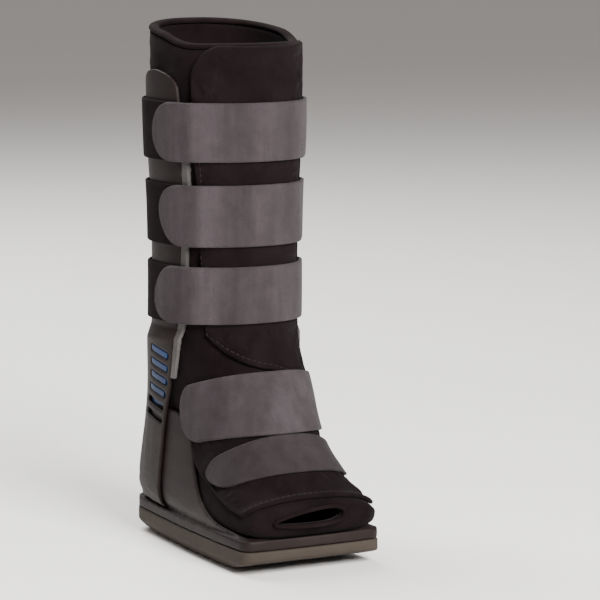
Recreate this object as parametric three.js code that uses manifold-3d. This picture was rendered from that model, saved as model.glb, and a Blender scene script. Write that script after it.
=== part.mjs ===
// A tall walking boot for a lower leg: a rocker sole, a moulded foot shell with two side uprights,
// a padded bootie open at the top and at the toe, and five hook-and-loop straps.
// Millimetres, +Z up, toe towards -Y, lateral side -X, origin on the floor under the leg's axis.

import * as THREE from "three";
import { mergeVertices } from "three/addons/utils/BufferGeometryUtils.js";
import Module from "manifold-3d";

const wasm = await Module();
wasm.setup();

// Clearances
const gap = 0.35; // between rigid pieces that touch
const layerGap = 0.6; // between soft layers, whose facets don't line up

// Sole
const soleLength = 245;
const heelSetback = 94; // leg axis to the sole's rear edge
const soleFrontWidth = 125;
const heelWidth = 99;
const heelRadius = 40;
const toeCornerRadius = 13;
const outsoleHeight = 20;
const toeRise = 12;
const toeRiseLength = 62;
const heelRise = 17;
const heelRiseLength = 75;
const soleBevel = 8; // how far the tread is inset at the floor
const grooveWidth = 4;
const grooveDepth = 2.5;
const groovePitch = 21;

// Foot shell
const shellFloor = 5;
const shellWall = 3;
const toeLip = 3.5; // tray edge above the shell's floor
const trayNose = 5; // solid at the tray's front edge
const wallHeight = 88; // side walls above the shell's floor

// Bootie
const legWidth = 115;
const legDepth = 118;
const linerWall = 7;
const ankleHeight = 181;
const rimHeight = 412; // at the front
const rimBackRise = 17;
const toeTopHeight = 54;
const toeOpeningWidth = 60;
const toeOpeningHeight = 14.5; // at the big toe's side
const toeOpeningShift = -5; // towards the big toe
const toeOpeningRise = 12; // opening's lower edge above the bootie's floor
const bindingHeight = 5;
const bindingProud = 0.7; // beyond the bootie's faces
const toeBindingWidth = 3;
const toeBindingThickness = 2;
const flapThickness = 3;

// Uprights
const uprightDrop = 22; // top of an upright below the rim
const uprightTopWidth = 68;
const uprightThickness = 3;
const edgeStripWidth = 6;
const stripTipLength = 3;
const stripFrom = 0.352; // its ends, as shares of the upright's height
const stripTo = 0.93;
const slotCount = 6;
const slotPitch = 11;
const slotHeight = 6.5;
const slotLength = 32;
const slotSlope = 9; // degrees
const slotsTop = 160; // centre of the highest slot
const ventThickness = 1;
const ventMargin = 2;
const ventRecess = 0.5; // vent ribs below the panel's face

// Straps
const strapWidth = 50;
const strapPitch = 67;
const lowStrapHeight = 182; // lower edge of the lowest calf strap
const calfStraps = 3;
const strapThickness = 2.4;
const bandThickness = 2.2;
const instepStrapWidth = 55;
const forefootStrapWidth = 36;
const instepStrapStart = 37; // along the instep, from the ankle line to the strap's upper edge

const around = 36; // facets round the bootie
const arcFacets = 12; // over the top of an upright
const uprightHeight = rimHeight - uprightDrop;
const soleRear = heelSetback;
const soleFront = soleRear - soleLength;
const shellBase = outsoleHeight + gap;
const shellTop = shellBase + shellFloor; // the surface that the bootie stands on
const linerFloor = shellTop + gap;
const legHalf = legWidth / 2;
const depthHalf = legDepth / 2;
const linerHeel = soleRear - shellWall - gap - 1;
const linerToe = -soleFront - 0.5;
const sideInset = shellWall + gap + 0.6; // sole edge to bootie
const heelHalf = heelWidth / 2 - sideInset;
const foreHalf = soleFrontWidth / 2 - sideInset;

const radians = THREE.MathUtils.degToRad;
const mix = THREE.MathUtils.lerp;
const clamp = THREE.MathUtils.clamp;

// Sections of the leg, from the rim down. up: share of the height above the ankle line,
// wide and deep: shares of the leg's half sizes.
const legRows = [
  { up: 1, wide: 1, deep: 1.02 },
  { up: 0.83, wide: 1.01, deep: 1 },
  { up: 0.6, wide: 0.99, deep: 0.98 },
  { up: 0.45, wide: 0.945, deep: 0.95 },
  { up: 0.2, wide: 0.93, deep: 0.94 },
  { up: 0, wide: 0.94, deep: 0.95 },
];

// Sections of the foot, fanned from the ankle to the toe. reach and high place the instep end:
// shares of the way from the leg's front to the toe, and from the toe's top to the ankle line.
// rear and low place the heel or sole end: a share of the heel's (or, below 0, the toe's) distance,
// and a share of the height from the floor of the shell to the ankle line. fore: 0 heel width,
// 1 front width. ankle: share of the leg's width. square and crown: how flat the lower and the
// instep ends are.
const footRows = [
  { reach: 0.01, high: 0.955, rear: 0.66, low: 0.91, fore: 0.3, ankle: 0.9, square: 2.3, crown: 2.3 },
  { reach: 0.045, high: 0.875, rear: 0.675, low: 0.79, fore: 0.3, ankle: 0.8, square: 2.3, crown: 2.4 },
  { reach: 0.105, high: 0.8, rear: 0.715, low: 0.61, fore: 0.3, ankle: 0.6, square: 2.3, crown: 2.6 },
  { reach: 0.18, high: 0.73, rear: 0.79, low: 0.44, fore: 0.3, ankle: 0.4, square: 2.4, crown: 2.8 },
  { reach: 0.255, high: 0.64, rear: 0.88, low: 0.29, fore: 0.3, ankle: 0.22, square: 2.5, crown: 2.9 },
  { reach: 0.33, high: 0.54, rear: 0.95, low: 0.16, fore: 0.34, ankle: 0.1, square: 2.6, crown: 2.9 },
  { reach: 0.405, high: 0.44, rear: 0.945, low: 0.065, fore: 0.4, ankle: 0.04, square: 2.8, crown: 2.9 },
  { reach: 0.485, high: 0.345, rear: 0.81, low: 0.008, fore: 0.48, ankle: 0, square: 3, crown: 2.8 },
  { reach: 0.57, high: 0.26, rear: 0.51, low: 0, fore: 0.58, ankle: 0, square: 3.3, crown: 2.7 },
  { reach: 0.64, high: 0.213, rear: 0.17, low: 0, fore: 0.66, ankle: 0, square: 3.6, crown: 2.6 },
  { reach: 0.73, high: 0.145, rear: -0.13, low: 0, fore: 0.82, ankle: 0, square: 4, crown: 2.5 },
  { reach: 0.82, high: 0.088, rear: -0.4, low: 0, fore: 0.96, ankle: 0, square: 4, crown: 2.4 },
  { reach: 0.905, high: 0.044, rear: -0.645, low: 0, fore: 1, ankle: 0, square: 4, crown: 2.3 },
  { reach: 0.97, high: 0.025, rear: -0.85, low: 0.003, fore: 0.99, ankle: 0, square: 3.6, crown: 2.3 },
  { reach: 0.992, high: 0.005, rear: -0.965, low: 0.012, fore: 0.9, ankle: 0, square: 3.2, crown: 2.3 },
];

const legSquare = 2.3; // power of the leg's rounded sections: 2 is an ellipse, more is squarer

// Each station is one section: its instep end, its heel or sole end, its half width.
function stations() {
  const list = legRows.map((row, i) => {
    const z = mix(ankleHeight, rimHeight, row.up);
    return {
      front: new THREE.Vector2(-depthHalf * row.deep, z),
      back: new THREE.Vector2(depthHalf * row.deep, z + (i === 0 ? rimBackRise : 0)),
      half: legHalf * row.wide,
      square: legSquare,
      crown: legSquare,
      shell: 0,
    };
  });
  const lowest = legRows.at(-1);
  for (const row of footRows) {
    const ball = mix(heelHalf, foreHalf, row.fore);
    list.push({
      front: new THREE.Vector2(
        -mix(depthHalf * lowest.deep, linerToe, row.reach),
        mix(toeTopHeight, ankleHeight, row.high),
      ),
      back: new THREE.Vector2(
        row.rear * (row.rear > 0 ? linerHeel : linerToe),
        mix(linerFloor, ankleHeight, row.low),
      ),
      half: mix(ball, legHalf * lowest.wide, row.ankle),
      square: row.square,
      crown: row.crown,
      shell: 1,
    });
  }
  return list;
}

const body = stations();
const ankleStation = legRows.length - 1;
const lastStation = body.length - 1;

// The section at a station number, which may lie between two stations.
function sectionAt(s) {
  const i = clamp(Math.floor(s), 0, lastStation - 1);
  const t = s - i;
  const a = body[i];
  const b = body[i + 1];
  return {
    front: a.front.clone().lerp(b.front, t),
    back: a.back.clone().lerp(b.back, t),
    half: mix(a.half, b.half, t),
    square: mix(a.square, b.square, t),
    crown: mix(a.crown, b.crown, t),
    shell: mix(a.shell, b.shell, t),
  };
}

// A point of the bootie's outer surface moved out by offset. turn is 0 at the instep,
// -90 degrees at the lateral side and 180 degrees at the heel or sole.
function surfacePoint(s, turn, offset) {
  const section = sectionAt(s);
  const middle = section.front.clone().add(section.back).multiplyScalar(0.5);
  const along = section.front.clone().sub(section.back);
  const length = along.length() / 2 + offset;
  along.normalize();
  const c = Math.cos(turn);
  const power = 2 / (c > 0 ? section.crown : section.square);
  const forward = Math.sign(c) * Math.abs(c) ** power * length;
  const side = Math.sign(Math.sin(turn)) * Math.abs(Math.sin(turn)) ** power;
  return new THREE.Vector3(
    side * (section.half + offset),
    middle.x + along.x * forward,
    middle.y + along.y * forward,
  );
}

const turns = Array.from({ length: around }, (_, k) => (2 * Math.PI * k) / around);
const ring = (s, offset) => turns.map((turn) => surfacePoint(s, turn, offset));

// Station number where the front line of the leg is at a height.
function stationAtHeight(z) {
  for (let i = 0; i < lastStation; i++) {
    const top = body[i].front.y;
    const low = body[i + 1].front.y;
    if (z <= top && z >= low) return i + (top - z) / (top - low);
  }
  return z > body[0].front.y ? 0 : lastStation;
}

// Station number at a distance along the instep, down from the ankle line.
function stationAlongInstep(distance) {
  let left = distance;
  for (let i = ankleStation; i < lastStation; i++) {
    const step = body[i].front.distanceTo(body[i + 1].front);
    if (left <= step) return i + left / step;
    left -= step;
  }
  return lastStation;
}

// Geometry helpers
function geometryFrom(points, faces) {
  const geometry = new THREE.BufferGeometry();
  const flat = points.flatMap((p) => [p.x, p.y, p.z]);
  geometry.setAttribute("position", new THREE.Float32BufferAttribute(flat, 3));
  geometry.setIndex(faces.flat());
  return geometry;
}

function quads(faces, a, b, c, d) {
  faces.push([a, b, c], [a, c, d]);
}

// Rings joined one to the next and the last to the first: a tube bent round a hollow.
function closedTube(rings) {
  const n = rings[0].length;
  const faces = [];
  rings.forEach((_, i) => {
    const next = (i + 1) % rings.length;
    for (let k = 0; k < n; k++) {
      const m = (k + 1) % n;
      quads(faces, i * n + k, next * n + k, next * n + m, i * n + m);
    }
  });
  return geometryFrom(rings.flat(), faces);
}

// Rings joined one to the next, with a flat fan over each end.
function cappedLoft(rings) {
  const n = rings[0].length;
  const points = rings.flat();
  const faces = [];
  for (let i = 0; i + 1 < rings.length; i++) {
    for (let k = 0; k < n; k++) {
      const m = (k + 1) % n;
      quads(faces, i * n + k, (i + 1) * n + k, (i + 1) * n + m, i * n + m);
    }
  }
  const centre = (list) => list.reduce((sum, p) => sum.add(p), new THREE.Vector3()).divideScalar(n);
  const first = points.push(centre(rings[0])) - 1;
  const last = points.push(centre(rings.at(-1))) - 1;
  const end = (rings.length - 1) * n;
  for (let k = 0; k < n; k++) {
    const m = (k + 1) % n;
    faces.push([first, k, m], [last, end + m, end + k]);
  }
  return geometryFrom(points, faces);
}

function solidOf(geometry) {
  const bare = geometry.clone();
  bare.deleteAttribute("normal");
  bare.deleteAttribute("uv");
  const merged = mergeVertices(bare, 1e-4);
  return new wasm.Manifold(
    new wasm.Mesh({
      numProp: 3,
      vertProperties: new Float32Array(merged.attributes.position.array),
      triVerts: new Uint32Array(merged.index.array),
    }),
  );
}

function geometryOf(solid) {
  const mesh = solid.getMesh();
  const geometry = new THREE.BufferGeometry();
  geometry.setAttribute("position", new THREE.BufferAttribute(mesh.vertProperties, 3));
  geometry.setIndex(new THREE.BufferAttribute(mesh.triVerts, 1));
  return geometry;
}

// An outline in the side view (y, z), extruded across x from one value to another.
function sidePrism(outline, from, to) {
  const shape = new THREE.Shape(outline);
  const geometry = new THREE.ExtrudeGeometry(shape, { depth: to - from, bevelEnabled: false });
  geometry.applyMatrix4(new THREE.Matrix4().set(0, 0, 1, from, 1, 0, 0, 0, 0, 1, 0, 0, 0, 0, 0, 1));
  return solidOf(geometry);
}

// The space that the bootie fills, grown by an offset for each section.
function grownBootie(offset) {
  const rings = body.map((section, i) => ring(i, offset(section)));
  const tip = surfacePoint(lastStation, 0, 0);
  const nose = rings.at(-1).map((p) => p.clone().setY(Math.min(p.y, tip.y) - 0.5));
  return solidOf(cappedLoft([...rings, nose]));
}

// Sole
function soleOutline(inset) {
  const front = soleFrontWidth / 2 - inset;
  const heel = heelWidth / 2 - inset;
  const rear = soleRear - inset;
  const fore = soleFront + inset;
  const widest = mix(soleFront, soleRear, 0.16);
  const corner = toeCornerRadius;
  const round = heelRadius - inset;
  const shape = new THREE.Shape();
  shape.moveTo(-front + corner, fore);
  shape.quadraticCurveTo(0, fore - corner * 0.18, front - corner, fore);
  shape.quadraticCurveTo(front, fore, front, fore + corner);
  shape.quadraticCurveTo(front + 1, widest, mix(front, heel, 0.35), mix(widest, rear - round, 0.5));
  shape.lineTo(heel, rear - round);
  shape.absellipse(0, rear - round, heel, round, 0, Math.PI, false);
  shape.lineTo(-mix(front, heel, 0.35), mix(widest, rear - round, 0.5));
  shape.quadraticCurveTo(-front - 1, widest, -front, fore + corner);
  shape.quadraticCurveTo(-front, fore, -front + corner, fore);
  return shape.getPoints(6);
}

function plate(points, low, high) {
  const shape = new THREE.Shape(points);
  const geometry = new THREE.ExtrudeGeometry(shape, { depth: high - low, bevelEnabled: false });
  return solidOf(geometry.translate(0, 0, low));
}

function outsole() {
  const wide = soleOutline(0);
  const narrow = soleOutline(soleBevel);
  const level = (points, z) => points.slice(0, -1).map((p) => new THREE.Vector3(p.x, p.y, z));
  const rings = [
    level(wide, outsoleHeight),
    level(wide, outsoleHeight / 2),
    level(narrow, 0),
  ];
  let solid = solidOf(cappedLoft(rings));
  const far = soleLength;
  const toeStart = soleFront + toeRiseLength;
  const heelStart = soleRear - heelRiseLength;
  const toeArc = new THREE.QuadraticBezierCurve(
    new THREE.Vector2(toeStart, 0),
    new THREE.Vector2(mix(toeStart, soleFront, 0.55), toeRise * 0.1),
    new THREE.Vector2(soleFront - 1, toeRise),
  );
  const heelArc = new THREE.QuadraticBezierCurve(
    new THREE.Vector2(soleRear + 1, heelRise),
    new THREE.Vector2(mix(heelStart, soleRear, 0.5), 0),
    new THREE.Vector2(heelStart, 0),
  );
  const profile = [
    ...heelArc.getPoints(8),
    ...toeArc.getPoints(8),
    new THREE.Vector2(soleFront - far, toeRise),
    new THREE.Vector2(soleFront - far, outsoleHeight + 1),
    new THREE.Vector2(soleRear + far, outsoleHeight + 1),
    new THREE.Vector2(soleRear + far, heelRise),
  ];
  solid = solid.intersect(sidePrism(profile, -far, far));
  const reach = Math.floor((soleLength / 2 - grooveWidth) / groovePitch);
  for (let i = -reach; i <= reach; i++) {
    const y = (soleFront + soleRear) / 2 + (i + 0.85) * groovePitch;
    const rise = floorRise(y);
    const groove = [
      new THREE.Vector2(y - grooveWidth / 2, -1),
      new THREE.Vector2(y + grooveWidth / 2, -1),
      new THREE.Vector2(y + grooveWidth / 2, rise + grooveDepth),
      new THREE.Vector2(y - grooveWidth / 2, rise + grooveDepth),
    ];
    solid = solid.subtract(sidePrism(groove, -far, far));
  }
  return geometryOf(solid);
}

// How far the tread is off the floor at y.
function floorRise(y) {
  const toe = clamp((soleFront + toeRiseLength - y) / toeRiseLength, 0, 1);
  const heel = clamp((y - soleRear + heelRiseLength) / heelRiseLength, 0, 1);
  return toeRise * toe ** 2 + heelRise * heel ** 2;
}

// Foot shell: a tray flush with the sole, and walls that wrap the bootie up to a swept edge.
// ahead: share of the way from the leg's axis to the toe, z: share of the height from the tray's
// lip to the top of the walls.
const wallRows = [
  { ahead: 0.7, z: 0.06 },
  { ahead: 0.54, z: 0.15 },
  { ahead: 0.41, z: 0.3 },
  { ahead: 0.33, z: 0.5 },
  { ahead: 0.27, z: 0.76 },
  { ahead: 0.2, z: 0.93 },
  { ahead: 0.1, z: 1 },
];

function wallEdge() {
  const lip = shellTop + toeLip;
  const rise = (share) => mix(lip, shellTop + wallHeight, share);
  const sweep = new THREE.SplineCurve([
    new THREE.Vector2(soleFront - 1, lip),
    ...wallRows.map((row) => new THREE.Vector2(row.ahead * soleFront, rise(row.z))),
  ]);
  return [
    ...sweep.getPoints(28),
    new THREE.Vector2(heelSetback * 0.5, rise(1)),
    new THREE.Vector2(heelSetback * 0.8, rise(0.94)),
    new THREE.Vector2(heelSetback * 2, rise(0.9)),
    new THREE.Vector2(heelSetback * 2, shellBase),
    new THREE.Vector2(soleFront - 1, shellBase),
  ];
}

function footShell() {
  const wide = soleLength;
  const walls = grownBootie(() => gap + shellWall)
    .intersect(sidePrism(wallEdge(), -wide, wide))
    .add(plate(soleOutline(gap), shellBase, shellTop + toeLip));
  const hollow = grownBootie(() => gap);
  const above = plate(soleOutline(gap + shellWall), shellTop, shellTop + 2 * toeLip);
  return geometryOf(walls.subtract(hollow).subtract(frontRelief(above)));
}

// The tray is open above its floor wherever the bootie doesn't fill it.
function frontRelief(above) {
  const outside = grownBootie(() => gap + shellWall - 0.01);
  const ahead = [
    new THREE.Vector2(soleFront - trayNose, shellTop),
    new THREE.Vector2(-heelSetback, shellTop),
    new THREE.Vector2(-heelSetback, shellTop + 2 * toeLip),
    new THREE.Vector2(soleFront - trayNose, shellTop + 2 * toeLip),
  ];
  return above.subtract(outside).intersect(sidePrism(ahead, -soleLength, soleLength));
}

// Uprights. The panel's outline in the side view, from its top arc down both edges.
// z: share of the upright's height; front and rear: shares of its width at the top.
const panelRows = [
  { z: 0.95, front: -0.4, rear: 0.54 },
  { z: 0.8, front: -0.42, rear: 0.59 },
  { z: 0.62, front: -0.36, rear: 0.63 },
  { z: 0.44, front: -0.3, rear: 0.7 },
  { z: 0.36, front: -0.22, rear: 0.75 },
  { z: 0.315, front: -0.13, rear: 0.79 },
  { z: 0.25, front: 0, rear: 0.85 },
  { z: 0.15, front: 0.1, rear: 0.91 },
];
const panelBottom = shellTop + toeLip + gap;

function panelEdge(side, shiftFront) {
  const rows = panelRows.map(
    (row) => new THREE.Vector2(row[side] * uprightTopWidth + shiftFront, row.z * uprightHeight),
  );
  const last = rows.at(-1);
  rows.push(new THREE.Vector2(last.x, panelBottom));
  return new THREE.SplineCurve(rows).getPoints(24).filter((p) => p.y >= panelBottom);
}

function panelOutline() {
  const front = panelEdge("front", 0);
  const rear = panelEdge("rear", 0);
  const low = front[0];
  const high = rear[0];
  const crown = uprightHeight - low.y;
  const arc = [];
  for (let k = 1; k < arcFacets; k++) {
    const a = (Math.PI * k) / arcFacets;
    const y = mix(low.x, high.x, (1 - Math.cos(a)) / 2);
    arc.push(new THREE.Vector2(y, low.y + crown * Math.sin(a) ** 0.8));
  }
  return [...front.reverse(), ...arc, ...rear];
}

// A strip just ahead of the panel's front edge, from above the instep strap to the panel's arc.
function stripOutline() {
  const covered = (p) => p.y > uprightHeight * stripFrom && p.y < uprightHeight * stripTo;
  const front = panelEdge("front", -gap).filter(covered);
  const ahead = panelEdge("front", -gap - edgeStripWidth).filter(covered);
  const tip = new THREE.Vector2(front[0].x - edgeStripWidth * 0.3, front[0].y + stripTipLength);
  return [...front.reverse(), tip, ...ahead];
}

const panelOffset = (section) => gap + section.shell * (shellWall + gap);
const panelOuter = (section) => panelOffset(section) + uprightThickness;

function sideLayer(inner, outer, outline, side) {
  const wide = soleLength;
  const range = side < 0 ? [-wide, -1] : [1, wide];
  return grownBootie(outer).subtract(grownBootie(inner)).intersect(sidePrism(outline, ...range));
}

// The outline of a slot in the side view, drawn in by an inset.
function slotOutline(index, inset = 0) {
  const z = slotsTop - index * slotPitch;
  const front = panelEdge("front", 0);
  const near = front.reduce((best, p) => (Math.abs(p.y - z) < Math.abs(best.y - z) ? p : best));
  const middle = near.x + edgeStripWidth * 0.8 + slotLength / 2;
  const slope = radians(slotSlope);
  const half = slotLength / 2;
  const round = slotHeight / 2 - inset;
  const points = [];
  for (let k = 0; k < 8; k++) {
    const a = (Math.PI * k) / 4 + Math.PI / 8;
    const along = Math.cos(a) * round + Math.sign(Math.cos(a)) * (half - slotHeight / 2);
    const across = Math.sin(a) * round;
    points.push(
      new THREE.Vector2(
        middle + along * Math.cos(slope) - across * Math.sin(slope),
        z + along * Math.sin(slope) + across * Math.cos(slope),
      ),
    );
  }
  return points;
}

function upright(side) {
  let solid = sideLayer(panelOffset, panelOuter, panelOutline(), side);
  for (let i = 0; i < slotCount; i++) {
    solid = solid.subtract(sidePrism(slotOutline(i), -soleLength, soleLength));
  }
  return geometryOf(solid);
}

const edgeStrip = (side) => geometryOf(sideLayer(panelOffset, panelOuter, stripOutline(), side));

// The coloured insert behind the slots, with a rib in each slot above the shell's wall.
function vent(side) {
  const first = slotOutline(0);
  const last = slotOutline(slotCount - 1);
  const ys = [...first, ...last].map((p) => p.x);
  const top = Math.min(Math.max(...first.map((p) => p.y)), body[ankleStation + 1].back.y);
  const floor = shellTop + wallHeight + gap;
  const outline = [
    new THREE.Vector2(Math.min(...first.map((p) => p.x)) - ventMargin, top),
    new THREE.Vector2(Math.min(...last.map((p) => p.x)) - ventMargin, floor),
    new THREE.Vector2(Math.max(...ys) + ventMargin, floor),
    new THREE.Vector2(Math.max(...ys) + ventMargin, top),
  ];
  let solid = sideLayer(() => gap, () => gap + ventThickness, outline, side);
  for (let i = 0; i < slotCount; i++) {
    const slot = slotOutline(i, gap);
    if (slot.some((p) => p.y < floor || p.y > top)) continue;
    solid = solid.add(sideLayer(() => gap, (section) => panelOuter(section) - ventRecess, slot, side));
  }
  return geometryOf(solid);
}

// Bootie
const openingMiddle = new THREE.Vector2(
  -linerToe - 0.5,
  linerFloor + toeOpeningRise + toeOpeningHeight / 2,
);

// The outline of the toe opening, at a distance behind the bootie's front face. It is tall at the
// big toe's side and narrows towards the little toe's.
function openingRing(behind, grow) {
  return turns.map((turn) => {
    const c = Math.cos(turn);
    const side = Math.sign(Math.sin(turn)) * Math.abs(Math.sin(turn)) ** 0.85;
    const tall = mix(0.3, 1, (side + 1) / 2) * (toeOpeningHeight / 2);
    const sink = (1 - side) * toeOpeningHeight * 0.12;
    return new THREE.Vector3(
      toeOpeningShift + side * (toeOpeningWidth / 2 + grow),
      openingMiddle.x + behind,
      openingMiddle.y - sink + Math.sign(c) * Math.abs(c) ** 0.85 * (tall + grow),
    );
  });
}

function liner() {
  const rows = body.map((_, i) => i);
  const outer = rows.map((i) => ring(i, 0));
  const inner = rows.map((i) => ring(i, -linerWall)).reverse();
  const down = (points) => points.map((p) => p.clone().setZ(p.z - bindingHeight - gap));
  outer[0] = down(outer[0]);
  inner[inner.length - 1] = down(inner.at(-1));
  inner[0] = ring(lastStation, -linerWall * 0.4).map((p) => p.setY(p.y + linerWall * 0.8));
  return closedTube([...outer, openingRing(0, 0), openingRing(linerWall, 0), ...inner]);
}

// A soft edging that sits on the rim of the bootie.
function rimBinding() {
  const level = (offset, drop) => ring(0, offset).map((p) => p.setZ(p.z - drop));
  return closedTube([
    level(bindingProud, bindingHeight),
    level(-linerWall - bindingProud, bindingHeight),
    level(-linerWall - bindingProud, bindingHeight * 0.4),
    level(-linerWall * 0.7, 0),
    level(-linerWall * 0.3, 0),
    level(bindingProud, bindingHeight * 0.4),
  ]);
}

// A rolled edging round the toe opening.
function toeBinding() {
  const proud = toeBindingThickness + gap;
  return closedTube([
    openingRing(-gap, toeBindingWidth * 0.2),
    openingRing(-gap, toeBindingWidth * 0.9),
    openingRing(-gap - toeBindingThickness * 0.6, toeBindingWidth),
    openingRing(-proud, toeBindingWidth * 0.45),
    openingRing(-gap - toeBindingThickness * 0.7, 0),
  ]);
}

// A soft sheet laid on the bootie. from and to: turns at its two edges, span(turn): its first and
// last station, base(turn): its inner offset, roundFrom and roundTo: the turns taken by rounded ends,
// lean: how far the first edge turns forward from its first station to its last. Inner rows
// lie on the stations, where the bootie bends.
function sheet({ from, to, span, base, thickness, rows, roundFrom = 0, roundTo = 0, lean = 0 }) {
  const columns = [from];
  const step = (2 * Math.PI) / around;
  for (let k = Math.ceil(from / step + 0.02); k * step < to - step * 0.02; k++) columns.push(k * step);
  columns.push(to);
  const soften = [];
  for (let k = 1; k < 5; k++) {
    if (roundFrom) soften.push(from + roundFrom * (1 - Math.cos((Math.PI * k) / 10)));
    if (roundTo) soften.push(to - roundTo * (1 - Math.cos((Math.PI * k) / 10)));
  }
  const all = [...columns, ...soften].sort((a, b) => a - b).filter((v, i, l) => !i || v - l[i - 1] > 0.008);
  const end = (distance, radius) => {
    const left = radius ? clamp(1 - distance / radius, 0, 1) : 0;
    return radius ? Math.max(Math.sqrt(1 - left * left), 0.3) : 1;
  };
  const points = [];
  for (const turn of all) {
    const [first, last] = span(turn);
    const scale = Math.min(end(turn - from, roundFrom), end(to - turn, roundTo));
    const middle = (first + last) / 2;
    for (const offset of [base(turn), base(turn) + thickness]) {
      for (let r = 0; r <= rows; r++) {
        const even = middle + (mix(first, last, r / rows) - middle) * scale;
        const whole = Math.round(even);
        const near = Math.abs(even - whole) < ((last - first) * scale) / rows / 2;
        const s = near && r > 0 && r < rows ? whole : even;
        const slant = lean * ((to - turn) / (to - from)) * (r / rows) ** 1.5;
        points.push(surfacePoint(s, turn + slant, offset));
      }
    }
  }
  const n = rows + 1;
  const stride = 2 * n;
  const faces = [];
  const loop = [];
  for (let r = 0; r <= rows; r++) loop.push(r);
  for (let r = rows; r >= 0; r--) loop.push(n + r);
  for (let c = 0; c + 1 < all.length; c++) {
    for (let k = 0; k < loop.length; k++) {
      const a = loop[k];
      const b = loop[(k + 1) % loop.length];
      quads(faces, c * stride + a, (c + 1) * stride + a, (c + 1) * stride + b, c * stride + b);
    }
  }
  const tail = (all.length - 1) * stride;
  for (let r = 0; r < rows; r++) {
    quads(faces, r, r + 1, n + r + 1, n + r);
    quads(faces, tail + r, tail + n + r, tail + n + r + 1, tail + r + 1);
  }
  return geometryFrom(points, faces);
}

const flapBase = layerGap * 1.4;
const strapBase = flapBase + flapThickness + layerGap;

// The turn, measured from the leg's front or back, of a point at a distance ahead of or behind the axis.
const turnAtDepth = (depth) => Math.acos((depth / depthHalf) ** 1.15);
const stripLead = uprightTopWidth * Math.max(...panelRows.map((row) => -row.front)) + gap + edgeStripWidth;
const panelRear = uprightTopWidth * Math.max(...panelRows.slice(0, 4).map((row) => row.rear));
const lateralEdge = radians(2.5) - turnAtDepth(stripLead); // the flap's free edge, just ahead of the strip
const rearOpening = turnAtDepth(panelRear) - radians(2); // from the leg's back to the upright's edge

const flapTop = 0.17; // its upper edge's station
const flapTip = 45; // its lowest reach along the instep, from the ankle line
const flapTipTurn = radians(15);
const flapLean = radians(12.5);

// The front flap of the bootie's leg, closed over from the medial side.
function legFlap() {
  const low = (turn) => {
    const t = clamp((turn - lateralEdge) / (flapTipTurn - lateralEdge), 0, 1);
    return stationAlongInstep(mix(2, flapTip, t ** 0.7));
  };
  return sheet({
    from: lateralEdge,
    to: -lateralEdge,
    span: (turn) => [flapTop, low(turn)],
    base: () => flapBase,
    thickness: flapThickness,
    rows: 9,
    lean: flapLean,
  });
}

const footFlapReach = radians(76); // to each side of the instep
const footFlapStart = 48; // along the instep, from the ankle line
const wallMargin = 4; // from the shell's walls to the flap

// The flap over the foot, from under the instep strap to the toe.
function footFlap() {
  const whole = sheet({
    from: -footFlapReach,
    to: footFlapReach,
    span: () => [stationAlongInstep(footFlapStart), lastStation - 1],
    base: () => flapBase,
    thickness: flapThickness,
    rows: 9,
  });
  const walls = wallEdge().map(
    (p) => new THREE.Vector2(p.x - wallMargin, p.y + wallMargin * (p.y > shellTop)),
  );
  return geometryOf(solidOf(whole).subtract(sidePrism(walls, -soleLength, soleLength)));
}

const calfSpan = (index) => {
  const low = lowStrapHeight + index * strapPitch;
  return [stationAtHeight(low + strapWidth), stationAtHeight(low)];
};

const strapStarts = [-91, -85, -89].map(radians); // lateral ends, from the lowest strap up
const strapStart = (index) => strapStarts[index % strapStarts.length];
const strapEnd = radians(112);
const bandLap = radians(26); // how far a strap and its band overlap
const lapRise = bandThickness + layerGap;
const lapRamp = radians(14); // how far the strap takes to rise over the band
const lapLead = bandLap + lapRamp + (2 * Math.PI) / around;

// A strap is raised over the band where the two overlap, at both of its ends.
function strapOffset(turn, index) {
  const nearStart = clamp((strapStart(index) + lapLead - turn) / lapRamp, 0, 1);
  const nearEnd = clamp((turn - strapEnd + lapLead) / lapRamp, 0, 1);
  return strapBase + lapRise * Math.max(nearStart, nearEnd);
}

function calfStrap(index) {
  return sheet({
    from: strapStart(index),
    to: strapEnd,
    span: () => calfSpan(index),
    base: (turn) => strapOffset(turn, index),
    thickness: strapThickness,
    rows: 3,
    roundFrom: radians(24),
  });
}

// The dark band round the back of the leg that each calf strap fastens to.
function backBand(index) {
  return sheet({
    from: strapEnd - bandLap,
    to: 2 * Math.PI + strapStart(index) + bandLap,
    span: () => calfSpan(index),
    base: (turn) => {
      const back = clamp(1 - Math.abs(turn - Math.PI) / rearOpening, 0, 1);
      return mix(strapBase, layerGap, Math.min(back * 3, 1));
    },
    thickness: bandThickness,
    rows: 3,
  });
}

// Straps over the foot: from one side wall of the shell over the foot to the other.
// upper and lower: how far each edge lies up the leg at the strap's ends, in stations.
function footStrap({ start, width, upper, lower, edge, round }) {
  const raise = shellWall + gap;
  const first = stationAlongInstep(start);
  const last = stationAlongInstep(start + width);
  return sheet({
    from: -edge,
    to: edge,
    span: (turn) => {
      const back = (Math.abs(turn) / edge) ** 1.6;
      return [first - upper * back, last - lower * back];
    },
    base: () => Math.max(strapBase, raise + layerGap),
    thickness: strapThickness,
    rows: 6,
    roundFrom: round,
    roundTo: round,
  });
}

const instepStrap = () =>
  footStrap({
    start: instepStrapStart,
    width: instepStrapWidth,
    upper: 0.1,
    lower: 0.9,
    edge: radians(79),
    round: radians(20),
  });

const forefootStrap = () =>
  footStrap({
    start: instepStrapStart + instepStrapWidth + gap,
    width: forefootStrapWidth,
    upper: -0.75,
    lower: -0.2,
    edge: radians(71),
    round: radians(14),
  });

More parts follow.
